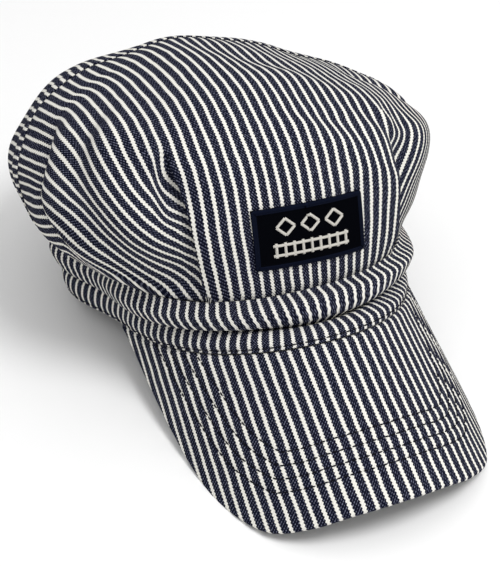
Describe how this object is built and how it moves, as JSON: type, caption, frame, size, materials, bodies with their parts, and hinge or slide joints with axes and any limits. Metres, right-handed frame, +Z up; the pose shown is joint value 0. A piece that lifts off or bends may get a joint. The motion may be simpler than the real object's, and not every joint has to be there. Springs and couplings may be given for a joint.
{
  "type": "railroad engineer cap",
  "caption": "Soft striped-denim railroad engineer cap: pleated crown on a low creased band, long curved brim, plain patch on the front.",
  "frame": {"origin": "on the floor under the middle of the cap's box, as the cap rests by itself on the back of its hem and its brim's two front corners", "axes": "+Z up, -Y towards the brim, +X towards the wearer's left"},
  "size_m": [0.2178, 0.3144, 0.1499],
  "materials": {
    "crown_denim": "matt cotton twill, navy with cream stripes",
    "band_denim": "matt cotton twill, navy with cream stripes, upright",
    "brim_denim": "matt cotton twill over a stiff board, navy with cream stripes, with rows of navy stitching",
    "patch_cloth": "matt black twill with a raised dark navy satin-stitched border"
  },
  "bodies": {
    "root": {"crown_front": "crown_denim", "crown_back": "crown_denim", "band": "band_denim", "brim": "brim_denim", "patch": "patch_cloth"}
  },
  "joints": []
}
